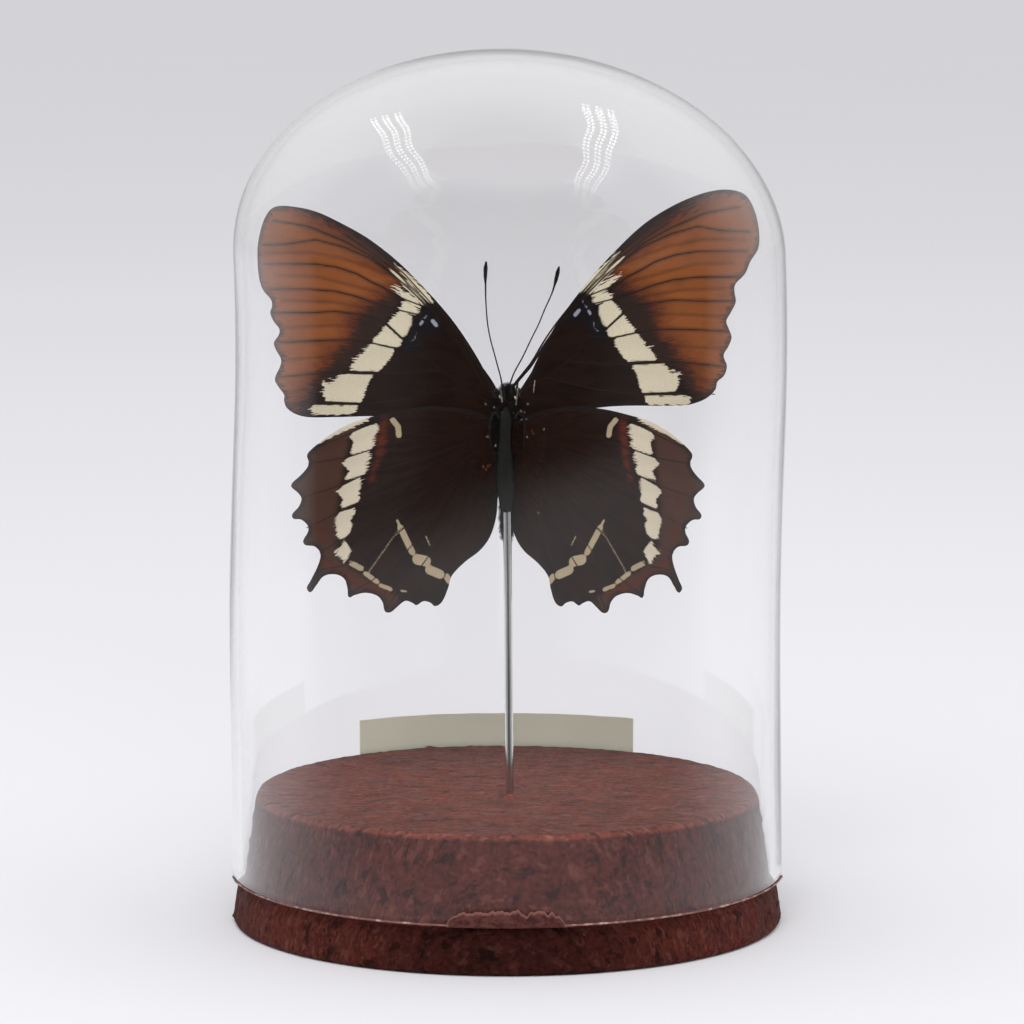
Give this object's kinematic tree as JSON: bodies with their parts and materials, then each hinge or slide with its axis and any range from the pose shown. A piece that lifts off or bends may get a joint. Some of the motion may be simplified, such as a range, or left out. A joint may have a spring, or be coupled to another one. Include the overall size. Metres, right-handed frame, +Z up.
{
  "type": "butterfly specimen in a glass dome",
  "caption": "Set butterfly with open banded wings, glued upright to a steel rod inside a blown clear glass dome that is closed below by a tapered dark cork stopper.",
  "frame": {"origin": "middle of the cork stopper's flat underside, which is what the dome stands on", "axes": "+Z up along the dome's axis, -Y towards the front, where the wings' undersides face, +X to the viewer's right"},
  "size_m": [0.0809, 0.0811, 0.1271],
  "materials": {
    "glass": "clear blown glass with a melted lip",
    "cork": "agglomerated cork, stained dark mahogany red",
    "steel": "bright drawn steel rod",
    "glue": "set dark glue, half matt",
    "label": "plain uncoated cream-green paper",
    "wing": "butterfly wing scales: dark brown, rust tips, cream band",
    "fur": "dark brown insect hair",
    "horn": "dark insect horn, half gloss"
  },
  "bodies": {
    "root": {"glass_dome": "glass", "cork_stopper": "cork", "support_rod": "steel", "glue_sleeve": "glue", "paper_label": "label", "left_forewing": "wing", "right_forewing": "wing", "left_hindwing": "wing", "right_hindwing": "wing", "thorax": "fur", "head": "fur", "abdomen": "fur", "left_eye": "horn", "right_eye": "horn", "left_palp": "horn", "right_palp": "horn", "left_leg": "horn", "right_leg": "horn", "left_antenna": "horn", "right_antenna": "horn"}
  },
  "joints": []
}
